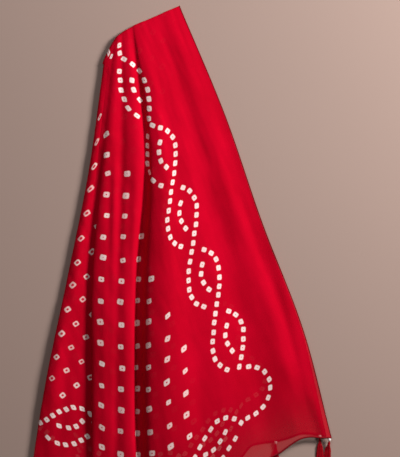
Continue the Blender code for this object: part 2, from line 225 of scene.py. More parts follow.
class Lay:
    """The cloth's grid of points: a row for each share of the length, a column for each line down it."""

    def __init__(self, cell):
        self.steps = line_steps(cell)
        column = dict(zip(LINE_NAMES, np.concatenate(([0], np.cumsum(self.steps))).tolist()))
        self.fold, self.datum, self.tuck = column["outer fold"], column["valley left"], column["tuck turn"]
        self.gathered, self.spread = self.front_section(0.0), self.front_section(0.5)
        front_shares = np.linspace(0, 1, FRONT_ROWS)
        back_shares = np.linspace(0, 1, BACK_ROWS)
        front = self.half(self.front_section, FRONT_HEM, front_shares)
        back = self.half(self.back_section, BACK_HEM, back_shares)
        self.crease(front)
        turn = self.shoulder_turn(front[0], back[0])
        self.points = np.concatenate((front[::-1], turn, back))
        self.down = np.concatenate((
            front_shares[::-1] * HALF_LENGTH, np.zeros(TURN_ROWS), -back_shares * HALF_LENGTH,
        ))
        lengths = np.linalg.norm(np.diff(self.points, axis=1), axis=2)
        self.out = np.concatenate((np.zeros((len(self.points), 1)), np.cumsum(lengths, axis=1)), axis=1)

    def front_section(self, share):
        """Across and level of each column at one share of the way down the front half."""
        return smooth_section(line_points(share), self.steps)

    def shares_between(self, section, first, last):
        """How far along one part of a section each of its points is, from 0 to 1."""
        lengths = np.linalg.norm(np.diff(section[first:last + 1], axis=0), axis=1)
        reached = np.concatenate(([0.0], np.cumsum(lengths)))
        return reached / reached[-1]

    def back_section(self, share):
        """Across and level of each column at one share of the way down the back half."""
        fold, gathered = self.fold, self.gathered
        opened = min(share / BACK_SPREAD_SHARE, 1.0)
        opened = opened * opened * (3 - 2 * opened)
        inner, outer = along(BACK_INNER, share), along(BACK_OUTER, share)
        wing_width = along(BACK_WING_WIDTH, share)
        panel = (gathered[:fold + 1, 0] - gathered[0, 0]) / (gathered[fold, 0] - gathered[0, 0])
        panel = panel * (1 - opened) + self.shares_between(self.spread, 0, fold) * opened
        wing = (gathered[fold:, 0] - gathered[fold, 0]) / (gathered[-1, 0] - gathered[fold, 0])
        last = len(gathered) - 1
        wing = wing * (1 - opened) + self.shares_between(self.spread, fold, last) * opened
        middle, radius = (BACK_WING_LEVEL + FLOOR_LEVEL) / 2, (BACK_WING_LEVEL - FLOOR_LEVEL) / 2
        across = np.concatenate((inner + (outer - inner) * panel, outer + wing_width * wing[1:]))
        level = np.full(len(across), FLOOR_LEVEL)
        level[fold + 1:] = BACK_WING_LEVEL
        for side in range(-BACK_FOLD_STEPS, BACK_FOLD_STEPS + 1):
            angle = math.radians(90) * side / BACK_FOLD_STEPS
            across[fold + side] = outer + radius * (1 - math.cos(angle))
            level[fold + side] = middle + radius * math.sin(angle)
        clear = outer + radius * BACK_FOLD_CLEAR
        across[:fold - BACK_FOLD_STEPS] = np.maximum(across[:fold - BACK_FOLD_STEPS], clear)
        across[fold + BACK_FOLD_STEPS + 1:] = np.maximum(across[fold + BACK_FOLD_STEPS + 1:], clear)
        return np.stack((across, level), axis=1)

    def half(self, section_at, hem, shares):
        """Rows of points, from the shoulder to the hem, of one half of the cloth."""
        high = outline_height(SHOULDER_LINE, self.gathered[:, 0])
        low = outline_height(hem, section_at(1.0)[:, 0])
        rows = []
        for share in shares:
            section = section_at(share)
            rows.append(np.stack((section[:, 0], high + (low - high) * share, section[:, 1]), axis=1))
        return np.array(rows)

    def crease(self, front):
        """Lifts and dips the front half along its creases, less towards their ends."""
        shown = front[:, :self.fold]
        x, y = shown[..., 0], shown[..., 1]
        total = np.zeros(x.shape)
        for _, start, end, width, height in CREASES:
            run = np.subtract(end, start)
            t = np.clip(((x - start[0]) * run[0] + (y - start[1]) * run[1]) / run.dot(run), 0, 1)
            gap = np.hypot(x - start[0] - t * run[0], y - start[1] - t * run[1])
            taper = np.sin(math.pi * np.clip(t, CREASE_END, 1 - CREASE_END)) ** CREASE_TAPER
            total += height * np.exp(-(gap / width) ** 2) * taper
        calm = np.clip(np.linspace(0, 1, len(front))[:, None] / CREASE_START, 0, 1)
        shown[..., 2] += total * calm

    def shoulder_turn(self, front_row, back_row):
        """Rows of points round the shoulder fold, which stands out at right angles to its line."""
        rise = outline_height(SHOULDER_LINE, front_row[:, 0] + 1)
        rise = (rise - outline_height(SHOULDER_LINE, front_row[:, 0] - 1)) / 2
        outward = np.stack((-rise, np.ones_like(rise)), axis=1)
        outward /= np.linalg.norm(outward, axis=1)[:, None]
        middle, half = (front_row[:, 2] + back_row[:, 2]) / 2, (front_row[:, 2] - back_row[:, 2]) / 2
        rows = []
        for step in range(1, TURN_ROWS + 1):
            angle = math.pi * step / (TURN_ROWS + 1)
            share = (1 - math.cos(angle)) / 2
            row = front_row * (1 - share) + back_row * share
            row[:, :2] += outward * (half * SHOULDER_TURN_REACH * math.sin(angle))[:, None]
            row[:, 2] = middle + half * math.cos(angle)
            rows.append(row)
        return np.array(rows)


def length_setting(name, description, default):
    """A setting for a length, in metres."""
    return FloatProperty(name=name, description=description, default=default, unit="LENGTH", precision=5)


def colour_setting(name, description, default):
    """A setting for a colour."""
    return FloatVectorProperty(name=name, description=description, default=default, subtype="COLOR",
                               min=0, max=1)


class ClothSettings(bpy.types.PropertyGroup):
    """The cloth's size, dye and weave"""
    flat_width: length_setting("Flat width", "Width from selvage to selvage", 0.76)
    flat_length: length_setting("Flat length", "Length from hem to hem", 1.92)
    cell: FloatProperty(name="Cell", description="Widest cell of the cloth's mesh, in millimetres",
                        default=5.2)
    red: colour_setting("Dye", "The cloth's red", (0.62, 0.0004, 0.019))
    deep_red: colour_setting("Deep dye", "Where the dye took darker", (0.52, 0.0003, 0.014))
    undyed: colour_setting("Undyed", "The tied dots, which stayed undyed", (0.93, 0.74, 0.71))
    weave_pitch: length_setting("Weave pitch", "From thread to thread", 0.0007)
    sheer_from: length_setting("Sheer from", "Where the ends start to be sheerer", 0.80)
    sheer_to: length_setting("Sheer to", "Where the ends are sheerest", 0.96)
    selvage_width: length_setting("Selvage", "Width of the closer woven inner selvage", 0.014)
    ripple: length_setting("Ripple", "Height of the small ripples", 0.0006)


class DotSettings(bpy.types.PropertyGroup):
    """The sizes of the tied dots and their borders"""
    half_width: length_setting("Half width", "Half the width of a tied dot", 0.0053)
    pitch: length_setting("Pitch", "From dot to dot along a strand of the border", 0.0200)
    border_in: length_setting("Border in", "From the inner selvage to the border's middle", 0.160)
    border_half: length_setting("Border half-width", "Half the width of the border", 0.040)
    end_down: length_setting("End border", "From the shoulder to the end border's middle", 0.885)
    field_half_width: length_setting("Field dot", "Half the width of a dot in the field", 0.0060)
    field_pitch: length_setting("Field pitch", "From dot to dot in the field", 0.043)
    panel_pitch: length_setting("Panel pitch", "From dot to dot on the outer panel", 0.038)


class TrimSettings(bpy.types.PropertyGroup):
    """The sizes of the hems, the selvage cords and the stitches"""
    hem_radius: length_setting("Hem", "Half the height of the rolled hem", 0.0018)
    selvage_radius: length_setting("Selvage", "Half the height of the selvage cord", 0.0007)
    stitch_pitch: length_setting("Stitch pitch", "From stitch to stitch", 0.0045)
    stitch_length: length_setting("Stitch", "Length of a hem stitch", 0.0029)
    stitch_radius: length_setting("Stitch thread", "Half the stitch thread's width", 0.0002)
    hem_inset: length_setting("Stitch line", "From the hem's edge to its stitches", 0.0035)


class TasselSettings(bpy.types.PropertyGroup):
    """The tassels' threads and colours"""
    threads: IntProperty(name="Threads", description="Threads in one tassel", default=110, min=8)
    thread_radius: length_setting("Thread", "Half the width of a thread", 0.00036)
    red: colour_setting("Thread red", "The tassels' red", (0.56, 0.001, 0.014))
    bead_white: colour_setting("Bead", "The beads' white", (0.88, 0.80, 0.76))


class StageSettings(bpy.types.PropertyGroup):
    """The floor, the camera and the lights"""
    floor: colour_setting("Floor", "The floor's colour", (0.385, 0.268, 0.228))
    camera_height: length_setting("Camera height", "Of the camera above the floor", 3.2)
    view_width: length_setting("View width", "The width of floor that the camera sees", 0.84)
    key_power: FloatProperty(name="Key light", description="The key light's power", default=131.0)
    fill_power: FloatProperty(name="Fill light", description="The fill light's power", default=17.0)


def add_node(tree, kind, values=None, **settings):
    """A node with its settings and the values of some inputs, by socket name or number."""
    node = tree.nodes.new(kind)
    for name, value in settings.items():
        setattr(node, name, value)
    for key, value in (values or {}).items():
        socket = node.inputs[key]
        if isinstance(value, bpy.types.NodeSocket):
            tree.links.new(value, socket)
        else:
            socket.default_value = value
    return node


def group_tree(name, kind, inputs, outputs):
    """A node group with typed inputs and outputs, and its input and output nodes."""
    tree = bpy.data.node_groups.new(name, kind)
    for in_out, sockets in (("INPUT", inputs), ("OUTPUT", outputs)):
        for label, socket_type in sockets.items():
            tree.interface.new_socket(name=label, in_out=in_out, socket_type="NodeSocket" + socket_type)
    return tree, tree.nodes.new("NodeGroupInput"), tree.nodes.new("NodeGroupOutput")


def math_node(tree, operation, *values, clamp=False):
    """The result of one sum."""
    return add_node(tree, "ShaderNodeMath", dict(enumerate(values)), operation=operation,
                    use_clamp=clamp).outputs[0]


def noise_node(tree, place, scale, detail=2.0):
    """A soft noise from 0 to 1."""
    return add_node(tree, "ShaderNodeTexNoise",
                    {"Vector": place, "Scale": scale, "Detail": detail}).outputs[0]


def range_node(tree, value, start, end, low=0.0, high=1.0, ease="LINEAR"):
    """A value carried over from one range to another, and held at its ends."""
    return add_node(tree, "ShaderNodeMapRange", {0: value, 1: start, 2: end, 3: low, 4: high},
                    interpolation_type=ease).outputs[0]


def mix_colour(tree, share, *colours):
    """A colour between two, each of which is a socket or three numbers."""
    first, second = (colour if isinstance(colour, bpy.types.NodeSocket) else (*colour, 1)
                     for colour in colours)
    return add_node(tree, "ShaderNodeMix", {0: share, 6: first, 7: second}, data_type="RGBA").outputs[2]


SLUB_SCALE = (620.0, 26.0)    # a slub's fineness across its thread and along it
DOT_GRAIN = 420.0
DOT_SQUARENESS = 4.0          # 2 is round, and more is squarer
DOT_EDGE = (1.12, 0.86)       # where a dot's edge starts and ends, in its half-widths
DOT_RAGGED = 0.3              # and how far it wanders
PRICK_EDGE = 0.16
PINK = (0.80, 0.30, 0.30)
PRICK_RED = (0.62, 0.03, 0.05)
DYE_PATCHES = 7.0             # fineness of the patches where the dye took darker
CLOSE_ALPHA, SHEER_ALPHA, SELVAGE_ALPHA = 0.94, 0.60, 0.93
SLUB_ALPHA = 0.3
SELVAGE_FADE = 0.6            # the selvage's closer weave thins out from this share of its width
BUMP_DEPTH = 0.0003
UV_LAYERS = ("cloth_metres", "tied_dots", "dot_marks")
THREAD_LOOKS = {
    # name: brightness of its dye, brightness of its dark places, fineness of its grain
    "rolled edge": (0.4, 0.7, 900.0),
    "sewing thread": (0.8, 0.6, 1500.0),
    "tassel thread": (1.0, 0.7, 700.0),
}


def weave_group():
    """Plain weave: the threads' height, and slubs where a thread is thicker. Reads metres on the cloth."""
    tree, entry, leave = group_tree("plain weave", "ShaderNodeTree", {"Place": "Vector", "Pitch": "Float"},
                                    {"Height": "Float", "Slub": "Float"})
    turns = math_node(tree, "DIVIDE", math.pi, entry.outputs["Pitch"])
    parts = add_node(tree, "ShaderNodeSeparateXYZ", {0: entry.outputs["Place"]})
    waves = [math_node(tree, "SINE", math_node(tree, "MULTIPLY", parts.outputs[axis], turns))
             for axis in "XY"]
    slubs = []
    for scale in (SLUB_SCALE, SLUB_SCALE[::-1]):
        stretch = add_node(tree, "ShaderNodeMapping", {"Vector": entry.outputs["Place"],
                                                       "Scale": (*scale, 1.0)})
        slubs.append(noise_node(tree, stretch.outputs[0], 1.0))
    slub = math_node(tree, "MULTIPLY", math_node(tree, "ADD", *slubs), 0.5)
    over = math_node(tree, "MULTIPLY", math_node(tree, "MULTIPLY", *waves), 0.5)
    tree.links.new(math_node(tree, "ADD", over, slub), leave.inputs["Height"])
    tree.links.new(slub, leave.inputs["Slub"])
    return tree


def dot_group():
    """A tied dot: a soft square of undyed cloth with a dyed prick in its middle. Reads half-widths."""
    tree, entry, leave = group_tree(
        "tied dot", "ShaderNodeTree",
        {"Place": "Vector", "Ragged": "Float", "Prick": "Float", "Grain": "Vector"},
        {"Undyed": "Float", "Prick": "Float"},
    )
    fine = math_node(tree, "SUBTRACT", noise_node(tree, entry.outputs["Grain"], DOT_GRAIN), 0.5)
    wander = math_node(tree, "MULTIPLY", fine, entry.outputs["Ragged"])
    parts = add_node(tree, "ShaderNodeSeparateXYZ", {0: entry.outputs["Place"]})
    sides = [math_node(tree, "POWER", math_node(tree, "ABSOLUTE", parts.outputs[axis]), DOT_SQUARENESS)
             for axis in "XY"]
    reach = math_node(tree, "POWER", math_node(tree, "ADD", *sides), 1 / DOT_SQUARENESS)
    reach = math_node(tree, "ADD", reach, wander)
    middle = add_node(tree, "ShaderNodeVectorMath", {0: entry.outputs["Place"]}, operation="LENGTH")
    inner = math_node(tree, "ADD", entry.outputs["Prick"], PRICK_EDGE)
    prick = range_node(tree, middle.outputs["Value"], inner, entry.outputs["Prick"], ease="SMOOTHSTEP")
    tree.links.new(range_node(tree, reach, *DOT_EDGE, ease="SMOOTHSTEP"), leave.inputs["Undyed"])
    tree.links.new(prick, leave.inputs["Prick"])
    return tree


def new_material(name, **sockets):
    """An empty material with its shader, whose plain numbers are set on the shader's own sockets."""
    material = bpy.data.materials.new(name)
    material.use_nodes = True
    tree = material.node_tree
    shader = tree.nodes["Principled BSDF"]
    for socket, value in sockets.items():
        shader.inputs[socket.replace("_", " ")].default_value = value
    return material, tree, shader


def add_bump(tree, shader, strength, height):
    """Gives a shader its fine relief."""
    bump = add_node(tree, "ShaderNodeBump", {"Strength": strength, "Distance": BUMP_DEPTH, "Height": height})
    tree.links.new(bump.outputs[0], shader.inputs["Normal"])


def uneven_colour(tree, shader, colour, dark_share, scale, spread=(0.0, 1.0), detail=2.0):
    """Darkens a shader's colour unevenly by a noise, and gives back the noise."""
    grain = noise_node(tree, add_node(tree, "ShaderNodeTexCoord").outputs["Object"], scale, detail)
    dark = [channel * dark_share for channel in colour]
    mixed = mix_colour(tree, range_node(tree, grain, *spread), colour, dark)
    tree.links.new(mixed, shader.inputs["Base Color"])
    return grain


def cloth_material(settings):
    """Sheer dyed cloth with undyed tied dots."""
    material, tree, shader = new_material("dyed sheer cloth", Roughness=0.8, Specular_IOR_Level=0.02,
                                          Sheen_Weight=0.05, Sheen_Roughness=0.5,
                                          Sheen_Tint=(1.0, 0.12, 0.16, 1))
    place, local, marks = (add_node(tree, "ShaderNodeUVMap", uv_map=name).outputs[0] for name in UV_LAYERS)
    marks = add_node(tree, "ShaderNodeSeparateXYZ", {0: marks})
    weave = add_node(tree, "ShaderNodeGroup", {"Place": place, "Pitch": settings.weave_pitch},
                     node_tree=weave_group())
    dots = add_node(tree, "ShaderNodeGroup", {"Place": local, "Ragged": DOT_RAGGED,
                                              "Prick": marks.outputs["X"], "Grain": place},
                    node_tree=dot_group())
    share = range_node(tree, noise_node(tree, place, DYE_PATCHES, 3.0), 0.38, 0.66)
    dyed = mix_colour(tree, share, settings.red, settings.deep_red)
    thick = range_node(tree, weave.outputs["Slub"], 0.35, 0.7, 0.0, 0.45)
    dyed = mix_colour(tree, thick, dyed, settings.deep_red)
    pink = mix_colour(tree, marks.outputs["Y"], settings.undyed, PINK)
    pink = mix_colour(tree, dots.outputs["Prick"], pink, PRICK_RED)
    tree.links.new(mix_colour(tree, dots.outputs["Undyed"], dyed, pink), shader.inputs["Base Color"])
    parts = add_node(tree, "ShaderNodeSeparateXYZ", {0: place})
    down = math_node(tree, "ABSOLUTE", parts.outputs["Y"])
    dense = range_node(tree, down, settings.sheer_from, settings.sheer_to, CLOSE_ALPHA, SHEER_ALPHA)
    slub = math_node(tree, "SUBTRACT", weave.outputs["Slub"], 0.5)
    alpha = math_node(tree, "ADD", dense, math_node(tree, "MULTIPLY", slub, SLUB_ALPHA), clamp=True)
    alpha = math_node(tree, "MAXIMUM", alpha, dots.outputs["Undyed"])
    selvage = range_node(tree, parts.outputs["X"], settings.selvage_width,
                         settings.selvage_width * SELVAGE_FADE, 0.0, SELVAGE_ALPHA)
    tree.links.new(math_node(tree, "MAXIMUM", alpha, selvage), shader.inputs["Alpha"])
    add_bump(tree, shader, 0.35, weave.outputs["Height"])
    return material


def thread_material(name, colour):
    """Twisted thread: a fine noise darkens it unevenly."""
    material, tree, shader = new_material(name, Roughness=0.75, Sheen_Weight=0.04, Specular_IOR_Level=0.1)
    brightness, dark_share, scale = THREAD_LOOKS[name]
    dye = [channel * brightness for channel in colour]
    add_bump(tree, shader, 0.4, uneven_colour(tree, shader, dye, dark_share, scale, (0.35, 0.65), 3.0))
    return material


def bead_material(settings):
    """Pearly white bead."""
    material, tree, shader = new_material("bead", Roughness=0.2, Coat_Weight=0.6, Coat_Roughness=0.12)
    uneven_colour(tree, shader, settings.bead_white, 0.86, 260.0)
    return material


def floor_material(settings):
    """A plain pale matt floor, slightly uneven in tone."""
    material, tree, shader = new_material("pale floor", Roughness=0.85)
    uneven_colour(tree, shader, settings.floor, 0.94, 1.5)
    return material


def link(piece, material=None):
    """Puts a piece in the scene, with its material."""
    bpy.context.scene.collection.objects.link(piece)
    if material is not None:
        piece.data.materials.append(material)
    return piece


def filled_mesh(name, bm):
    """A mesh made of what a bmesh holds, which is then freed."""
    mesh = bpy.data.meshes.new(name)
    bm.to_mesh(mesh)
    bm.free()
    return mesh


def grid_mesh(name, columns, rows, size):
    """A flat grid of cells."""
    bm = bmesh.new()
    bmesh.ops.create_grid(bm, x_segments=columns, y_segments=rows, size=size)
    return filled_mesh(name, bm)


def polyline_object(name, lines, cyclic=False):
    """An object whose mesh is only edges: one chain of points for each line, in metres."""
    points, edges = [], []
    for line in lines:
        first = len(points)
        points.extend(tuple(point) for point in line)
        edges.extend((index, index + 1) for index in range(first, len(points) - 1))
        if cyclic:
            edges.append((len(points) - 1, first))
    mesh = bpy.data.meshes.new(name)
    mesh.from_pydata(points, edges, [])
    return link(bpy.data.objects.new(name, mesh))


def grown_mesh(piece, tree, material, values):
    """Runs a Geometry Nodes tree on a piece and leaves it as a plain mesh."""
    modifier = piece.modifiers.new("Grow", "NODES")
    modifier.node_group = tree
    sockets = {item.name: item.identifier for item in tree.interface.items_tree if item.in_out == "INPUT"}
    modifier[sockets["Finish"]] = material
    for name, value in values.items():
        modifier[sockets[name]] = value
    grown = bpy.data.meshes.new_from_object(piece.evaluated_get(bpy.context.evaluated_depsgraph_get()))
    piece.modifiers.clear()
    guide, piece.data = piece.data, grown
    bpy.data.meshes.remove(guide)
    return piece


def finish_tree(tree, entry, leave, shape):
    """Ends a Geometry Nodes tree: realized, smooth and with its finish."""
    real = add_node(tree, "GeometryNodeRealizeInstances", {0: shape})
    smooth = add_node(tree, "GeometryNodeSetShadeSmooth", {"Geometry": real.outputs[0]})
    painted = add_node(tree, "GeometryNodeSetMaterial", {"Geometry": smooth.outputs[0],
                                                         "Material": entry.outputs["Finish"]})
    tree.links.new(painted.outputs[0], leave.inputs[0])


def thread_tree():
    """Sweeps a round thread along every chain of edges."""
    tree, entry, leave = group_tree(
        "thread along lines", "GeometryNodeTree",
        {"Lines": "Geometry", "Radius": "Float", "Sides": "Int", "Finish": "Material"},
        {"Threads": "Geometry"},
    )
    curve = add_node(tree, "GeometryNodeMeshToCurve", {0: entry.outputs["Lines"]})
    ring = add_node(tree, "GeometryNodeCurvePrimitiveCircle", {"Resolution": entry.outputs["Sides"],
                                                               "Radius": entry.outputs["Radius"]})
    swept = add_node(tree, "GeometryNodeCurveToMesh", {"Curve": curve.outputs[0],
                                                       "Profile Curve": ring.outputs[0],
                                                       "Fill Caps": True})
    finish_tree(tree, entry, leave, swept.outputs[0])
    return tree


def stitch_tree():
    """Lays short stitches end to end along every chain of edges."""
    tree, entry, leave = group_tree(
        "stitches along lines", "GeometryNodeTree",
        {"Lines": "Geometry", "Pitch": "Float", "Length": "Float", "Radius": "Float", "Finish": "Material"},
        {"Stitches": "Geometry"},
    )
    curve = add_node(tree, "GeometryNodeMeshToCurve", {0: entry.outputs["Lines"]})
    spots = add_node(tree, "GeometryNodeCurveToPoints", {"Curve": curve.outputs[0],
                                                         "Length": entry.outputs["Pitch"]}, mode="LENGTH")
    grain = add_node(tree, "GeometryNodeMeshIcoSphere", {"Radius": 1.0, "Subdivisions": 1})
    half = math_node(tree, "MULTIPLY", entry.outputs["Length"], 0.5)
    size = add_node(tree, "ShaderNodeCombineXYZ", {0: entry.outputs["Radius"], 1: entry.outputs["Radius"],
                                                   2: half})
    laid = add_node(tree, "GeometryNodeInstanceOnPoints", {
        "Points": spots.outputs["Points"], "Instance": grain.outputs["Mesh"],
        "Rotation": spots.outputs["Rotation"], "Scale": size.outputs[0],
    })
    finish_tree(tree, entry, leave, laid.outputs[0])
    return tree


# The border's two strands weave past each other, so that they part and meet in a chain of leaves.
# Distances are in millimetres: down the side border from the shoulder, and along the end border
# from the inner selvage. A strand's wave is nought where it is on the leaves' full side.
WAVE = 292.0              # from one place on the full side to the strand's next
WAVE_SKEW = 0.12          # a strand leaves the full side slowly and comes back fast
WALK_STEP = 1.5
SHOULDER_LEAF = 0.6       # the leaves are this much narrower at the shoulder,
SHOULDER_RUN = 260.0      # and widen over this distance
LEAF_LINE = (-0.12, 0.2)  # where the short line inside a leaf starts and ends, in waves
LEAF_LINE_BOW = 42.0      # and how far it bows to the slack side
CROSSING = 0.25           # strands meet this many waves before and after the full side
CORNER_TOP = 773.0        # one strand joins the two borders in a round turn, from here
CORNER_FOOT = 877.0       # to here, this far from the inner selvage
CORNER_OUT = 153.0
CORNER_STEPS = 60
CORNER_TRIM = 3           # steps left out at each end of the turn, where its neighbours' dots are
CORNER_TAIL = 0.45        # and how far it then runs on, in radii
FIELD_MARGIN = 52.0       # plain cloth between the side border and the field of dots
FIELD_FOOT = 14.0         # and between the field and the end border
PANEL_FIRST = 12.0        # the outer panel's dots are counted from here, out from its fold
SHARED_DOT = 0.72         # two dots nearer than this share of the pitch are one
DOT_LONG = 1.08           # a dot is this much longer, and narrower, than a square of its width
TURNED = math.radians(45)
DOT_REACH = 2.4           # cloth further than this from a dot, in its half-widths, keeps clear of it
FAR_FROM_DOTS = 9.0
DOT_SEED = 11
DOT_LOOKS = {
    # measure: most stray out, down and in turn, then least and most of the dyed prick and the pinkness
    "border": ((1.0, 1.0, 0.15), (0.02, 0.14), (0.0, 0.2)),
    "field": ((2.0, 2.5, 0.2), (0.04, 0.2), (0.15, 0.45)),
    "panel": ((2.0, 2.5, 0.2), (0.3, 0.48), (0.3, 0.7)),
}
FIELD_DOT_SIZES = (0.85, 1.1)


# The end border keeps to the hang of the folds: how much further down than its middle it is.
END_PATH = (
    # out, lower
    (0, 0), (233, 0), (330, 22), (420, 46), (545, 46), (583, -80), (700, -50), (760, -36),
)


def end_lower(out):
    """How much further down the end border is at a distance out."""
    return np.interp(out, *np.transpose(END_PATH))


def side_place(settings, distance, reach):
    """A place in the side border, some way from its middle line to the inner selvage."""
    reach *= min(1.0, SHOULDER_LEAF + (1 - SHOULDER_LEAF) * max(0.0, distance) / SHOULDER_RUN)
    return np.array((settings.border_in / MM - reach, distance))


def end_place(settings, distance, reach):
    """A place in the end border, some way from its middle line to the shoulder."""
    return np.array((distance, settings.end_down / MM + end_lower(distance) - reach))


# The leaves of the border. A run breaks off in the tuck, where the cloth's hang shifts the next run.
BORDER_RUNS = (
    # place, fullest: where its first leaf is fullest, leaves, start, end
    (side_place, -47, 6, -292, 980),
    (end_place, 233, 3, 0, 563),
    (end_place, 615, 2, 563, 760),
)


def strand_line(settings, place, ends, fullest, waves, bow=0.0):
    """Places down one strand between two waves, counted from a leaf. A bow pushes the strand slack."""
    line = []
    steps = math.ceil((waves[1] - waves[0]) * WAVE / WALK_STEP)
    for step in range(steps + 1):
        share = step / steps
        wave = waves[0] + (waves[1] - waves[0]) * share
        skewed = wave + WAVE_SKEW * (1 - math.cos(2 * math.pi * wave)) / 2
        reach = settings.border_half / MM * math.cos(2 * math.pi * wave) - bow * math.sin(math.pi * share)
        distance = fullest + WAVE * skewed
        if ends[0] <= distance <= ends[1]:
            line.append(place(settings, distance, reach))
    return line


def corner_line():
    """The round turn of one strand at the cloth's corner."""
    radius, middle = (CORNER_FOOT - CORNER_TOP) / 2, (CORNER_FOOT + CORNER_TOP) / 2
    line = []
    for step in range(CORNER_TRIM, CORNER_STEPS - CORNER_TRIM + 1):
        angle = math.pi * step / CORNER_STEPS
        line.append(np.array((CORNER_OUT - radius * math.sin(angle), middle - radius * math.cos(angle))))
    return line + [np.array((CORNER_OUT + radius * CORNER_TAIL, CORNER_FOOT))]


def border_lines(settings):
    """Every line of the border's dots on the front half: each leaf's full side, slack side and line."""
    lines = [corner_line()]
    for place, first, leaves, *ends in BORDER_RUNS:
        for leaf in range(leaves):
            fullest = first + WAVE / 2 * leaf
            lines += [
                strand_line(settings, place, ends, fullest, (-CROSSING, CROSSING)),
                strand_line(settings, place, ends, fullest + WAVE / 2, (CROSSING - 1, -CROSSING)),
                strand_line(settings, place, ends, fullest, LEAF_LINE, LEAF_LINE_BOW),
            ]
    return [line for line in lines if len(line) > 1]


def dots_along(line, pitch):
    """Places evenly along a line, about a pitch apart, each with its direction: (out, down, turn)."""
    line = np.array(line)
    runs = np.diff(line, axis=0)
    reached = np.concatenate(([0.0], np.cumsum(np.hypot(runs[:, 0], runs[:, 1]))))
    count = max(1, round(reached[-1] / pitch))
    dots = []
    for number in range(count):
        at = (number + 0.5) * reached[-1] / count
        run = runs[np.searchsorted(reached, at) - 1]
        dots.append((np.interp(at, reached, line[:, 0]), np.interp(at, reached, line[:, 1]),
                     math.atan2(run[1], run[0])))
    return dots


def border_dots(settings):
    """The dots of the border on both halves of the cloth. Where lines meet, they share a dot."""
    pitch = settings.pitch / MM
    dots = []
    for line in border_lines(settings):
        for out, down, turn in dots_along(line, pitch):
            near = any(math.hypot(out - other[0], down - other[1]) < SHARED_DOT * pitch for other in dots)
            if down > 0 and not near:
                dots.append((out, down, turn))
    return dots + [(out, -down, -turn) for out, down, turn in dots]


def field_dots(settings, valley, tuck, fold):
    """The field's dots: (measure, out, down, turn). They stand in rows and columns up to the tuck, and
    slantwise on the outer panel. Out is measured from the fold that each measure keeps to."""
    square, slant = settings.field_pitch / MM, settings.panel_pitch / MM * math.sqrt(2)
    lattices = (
        # measure, the fold it keeps to, pitch out, pitch down, shift of odd rows, first out and down, turn
        ("field", valley, square, square, 0.0, 0.0, 0.5, 0.0),
        ("panel", fold, slant, slant / 2, 0.5, PANEL_FIRST, 0.0, TURNED),
    )
    first_out = (settings.border_in + settings.border_half) / MM + FIELD_MARGIN
    last_down = (settings.end_down - settings.border_half) / MM
    dots = []
    for measure, datum, pitch_out, pitch_down, shift, out_start, down_start, turn in lattices:
        last = int(HALF_LENGTH / pitch_down)
        for row in range(-last, last + 1):
            for column in range(-last, last + 1):
                out = pitch_out * (column + shift * (row % 2)) + out_start
                down = pitch_down * (row + down_start)
                place = out + np.interp(down, *datum)
                past_tuck = place > np.interp(down, *tuck)
                above_foot = abs(down) <= last_down + end_lower(place) - FIELD_FOOT
                if above_foot and place > first_out and past_tuck == (measure == "panel"):
                    dots.append((measure, out, down, turn))
    return dots


def dot_table(lay, settings):
    """Every dot in its own measure: (measure, out, down, turn, half-width, prick, pinkness)."""
    order = np.argsort(lay.down)
    folds = [(lay.down[order], lay.out[order, column]) for column in (lay.datum, lay.tuck, lay.fold)]
    chance = random.Random(DOT_SEED)
    table = []
    dots = [("border", *dot) for dot in border_dots(settings)] + field_dots(settings, *folds)
    for measure, *place in dots:
        strays, prick, pinkness = DOT_LOOKS[measure]
        place = [value + chance.uniform(-stray, stray) for value, stray in zip(place, strays)]
        if measure == "border":
            half = settings.half_width / MM
        else:
            half = settings.field_half_width / MM * chance.uniform(*FIELD_DOT_SIZES)
        table.append((measure, *place, half, chance.uniform(*prick), chance.uniform(*pinkness)))
    return table


def paint_dots(mesh, lay, settings):
    """Writes, for each corner of each face, its place in the nearest dot, in half-widths of that dot."""
    table = dot_table(lay, settings)
    down = np.repeat(lay.down[:, None], lay.out.shape[1], axis=1)
    outs = {"border": lay.out, "field": lay.out - lay.out[:, [lay.datum]],
            "panel": lay.out - lay.out[:, [lay.fold]]}
    measures = []
    for measure, out in outs.items():
        dots = [dot[1:] for dot in table if dot[0] == measure]
        tree = KDTree(len(dots))
        for index, dot in enumerate(dots):
            tree.insert((dot[0], dot[1], 0), index)
        tree.balance()
        measures.append((np.stack((out, down), axis=2).reshape(-1, 2), tree, dots))
    loops = np.empty(len(mesh.loops), dtype=np.int32)
    mesh.loops.foreach_get("vertex_index", loops)
    metres = measures[0][0][loops] * MM
    local = np.full((len(loops), 2), FAR_FROM_DOTS)
    marks = np.zeros((len(loops), 2))
    for face in mesh.polygons:
        corners = list(face.vertices)
        span = slice(face.loop_start, face.loop_start + len(corners))
        for places, tree, dots in measures:
            spots = places[corners]
            _, index, gap = tree.find((*spots.mean(axis=0), 0))
            out, down, turn, half, prick, pinkness = dots[index]
            if gap > DOT_REACH * half:
                continue
            offset = (spots - (out, down)) / half
            cos, sin = math.cos(turn), math.sin(turn)
            local[span, 0] = (offset[:, 0] * cos + offset[:, 1] * sin) / DOT_LONG
            local[span, 1] = (offset[:, 1] * cos - offset[:, 0] * sin) * DOT_LONG
            marks[span] = (prick, pinkness)
            break
    for name, values in zip(UV_LAYERS, (metres, local, marks)):
        mesh.uv_layers.new(name=name).data.foreach_set("uv", values.ravel())


RIPPLES = (
    # size across, size down, number of the noise, share of the height
    (21, 95, 3.0, 1.0),
    (9, 40, 7.0, 0.5),
)
RIPPLE_CLEAR = 0.1            # cloth less than this above the floor's level isn't rippled


